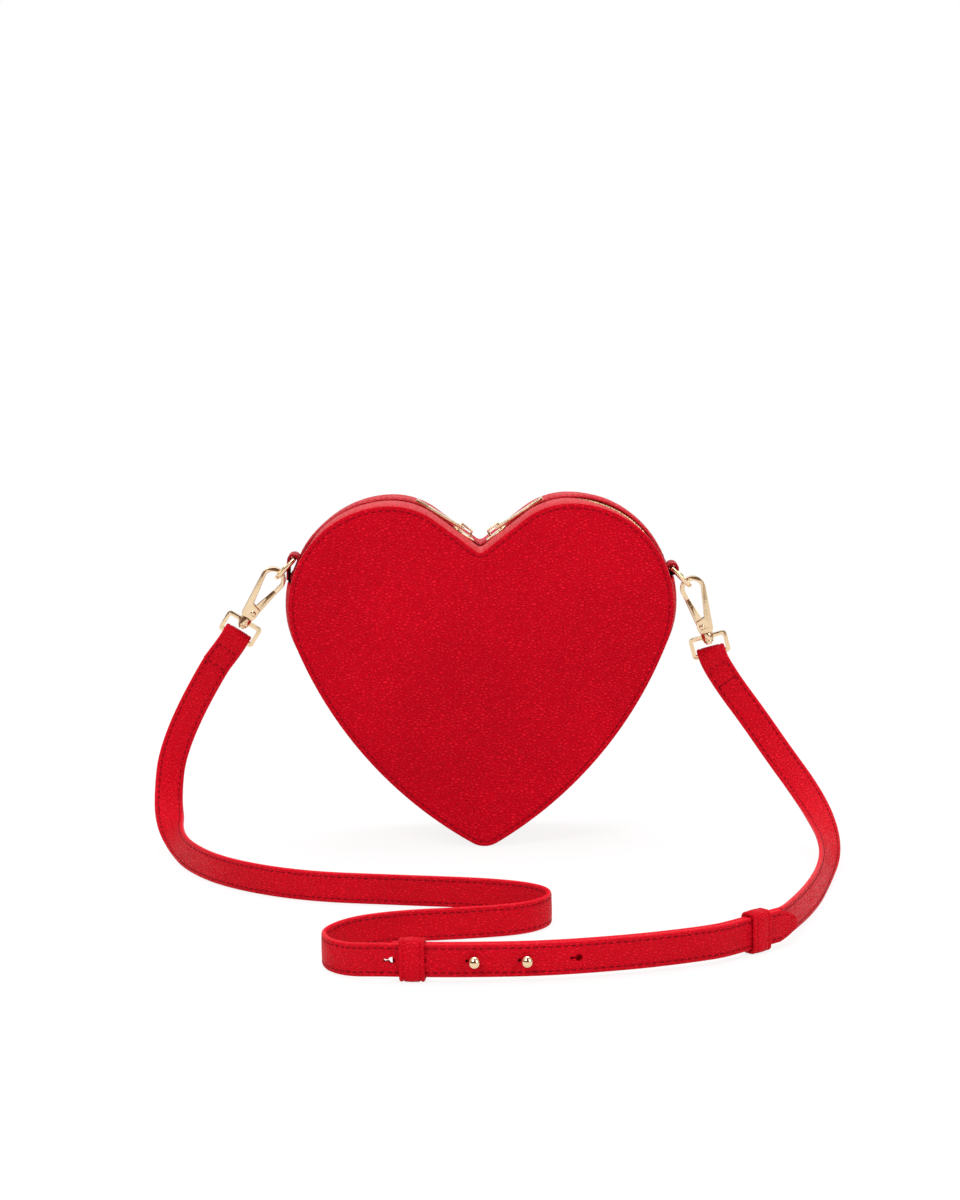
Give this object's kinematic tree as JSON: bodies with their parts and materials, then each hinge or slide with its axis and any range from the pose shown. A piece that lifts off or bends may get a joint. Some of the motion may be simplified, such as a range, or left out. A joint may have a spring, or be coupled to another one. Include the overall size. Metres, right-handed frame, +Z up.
{
  "type": "heart shaped purse",
  "caption": "Heart shaped leather purse with a zip over the top, two zip pulls, side rings and a long strap on swivel clasps, set with studs in keyholes and held by keepers.",
  "frame": {"origin": "under the tip of the heart, midway between its front and back, on the surface that it stands on", "axes": "+Z up, -Y out of the heart's front, +X to the right seen from the front"},
  "size_m": [0.3325, 0.2922, 0.1688],
  "materials": {
    "red_leather": "fine grain, satin",
    "stiff_board": "bonded board",
    "red_lining": "twill",
    "zip_tape": "woven tape",
    "gold_metal": "polished pale gold",
    "spring_steel": "bright"
  },
  "bodies": {
    "bag": {"front_panel": "red_leather", "back_panel": "red_leather", "lower_gusset": "red_leather", "zip_strip_front": "red_leather", "zip_strip_back": "red_leather", "left_tab": "red_leather", "right_tab": "red_leather", "strap_long": "red_leather", "strap_short": "red_leather", "fixed_keeper": "red_leather", "front_board": "stiff_board", "back_board": "stiff_board", "front_lining": "red_lining", "back_lining": "red_lining", "gusset_lining": "red_lining", "zip_tape_front": "zip_tape", "zip_tape_back": "zip_tape", "zip_teeth_front": "gold_metal", "zip_teeth_back": "gold_metal", "strap_studs": "gold_metal", "stud_screws": "gold_metal"},
    "left_slider": {"left_slider": "gold_metal"},
    "left_pull": {"left_pull": "gold_metal"},
    "left_ring": {"left_d_ring": "gold_metal"},
    "left_hook": {"left_hook": "gold_metal", "left_gate_pin": "gold_metal", "left_gate_spring": "spring_steel"},
    "left_gate": {"left_gate": "gold_metal"},
    "left_loop": {"left_strap_loop": "gold_metal"},
    "right_slider": {"right_slider": "gold_metal"},
    "right_pull": {"right_pull": "gold_metal"},
    "right_ring": {"right_d_ring": "gold_metal"},
    "right_hook": {"right_hook": "gold_metal", "right_gate_pin": "gold_metal", "right_gate_spring": "spring_steel"},
    "right_gate": {"right_gate": "gold_metal"},
    "right_loop": {"right_strap_loop": "gold_metal"},
    "keeper": {"sliding_keeper": "red_leather"}
  },
  "joints": [
    {"name": "left_slider_travel", "type": "hinge", "parent": "bag", "child": "left_slider", "pos_m": [-0.0455, 0, 0.118], "axis": [0, -1, 0], "range_deg": [0, 74], "deforming": ["zip_tape_front", "zip_tape_back", "zip_teeth_front", "zip_teeth_back"]},
    {"name": "left_pull_lift", "type": "hinge", "parent": "left_slider", "child": "left_pull", "pos_m": [-0.00821, 0, 0.1537], "axis": [0, 1, 0], "range_deg": [0, 60]},
    {"name": "left_ring_swing", "type": "hinge", "parent": "bag", "child": "left_ring", "pos_m": [-0.09174, 0, 0.13998], "axis": [0, 1, 0], "range_deg": [0, 35], "deforming": ["strap_long"]},
    {"name": "left_hook_swing", "type": "hinge", "parent": "left_ring", "child": "left_hook", "pos_m": [-0.10042, 0, 0.13098], "axis": [0, 1, 0], "range_deg": [-4, 12], "deforming": ["strap_long"]},
    {"name": "left_gate_open", "type": "hinge", "parent": "left_hook", "child": "left_gate", "pos_m": [-0.11251, 0, 0.11331], "axis": [0, -1, 0], "range_deg": [0, 18], "stiffness_Nm_per_rad": 0.0004, "deforming": ["left_gate_spring"]},
    {"name": "left_loop_swivel", "type": "hinge", "parent": "left_hook", "child": "left_loop", "pos_m": [-0.11624, 0, 0.11024], "axis": [-0.5373, 0, -0.8434], "range_deg": [-25, 25], "deforming": ["strap_long"]},
    {"name": "right_slider_travel", "type": "hinge", "parent": "bag", "child": "right_slider", "pos_m": [0.0455, 0, 0.118], "axis": [0, 1, 0], "range_deg": [0, 84], "deforming": ["zip_tape_front", "zip_tape_back", "zip_teeth_front", "zip_teeth_back"]},
    {"name": "right_pull_lift", "type": "hinge", "parent": "right_slider", "child": "right_pull", "pos_m": [0.00821, 0, 0.1537], "axis": [0, -1, 0], "range_deg": [0, 60]},
    {"name": "right_ring_swing", "type": "hinge", "parent": "bag", "child": "right_ring", "pos_m": [0.09433, 0, 0.13279], "axis": [0, -1, 0], "range_deg": [0, 35], "deforming": ["strap_short"]},
    {"name": "right_hook_swing", "type": "hinge", "parent": "right_ring", "child": "right_hook", "pos_m": [0.10301, 0, 0.1238], "axis": [0, -1, 0], "range_deg": [-4, 12], "deforming": ["strap_short"]},
    {"name": "right_gate_open", "type": "hinge", "parent": "right_hook", "child": "right_gate", "pos_m": [0.10887, 0, 0.1032], "axis": [0, 1, 0], "range_deg": [0, 18], "stiffness_Nm_per_rad": 0.0004, "deforming": ["right_gate_spring"]},
    {"name": "right_loop_swivel", "type": "hinge", "parent": "right_hook", "child": "right_loop", "pos_m": [0.11144, 0, 0.0991], "axis": [0.2419, 0, -0.9703], "range_deg": [-25, 25], "deforming": ["strap_short"]},
    {"name": "keeper_slide", "type": "slide", "parent": "bag", "child": "keeper", "axis": [0.7526, 0.6585, 0], "range_m": [-0.01, 0.01], "deforming": ["strap_long", "strap_short"]}
  ]
}
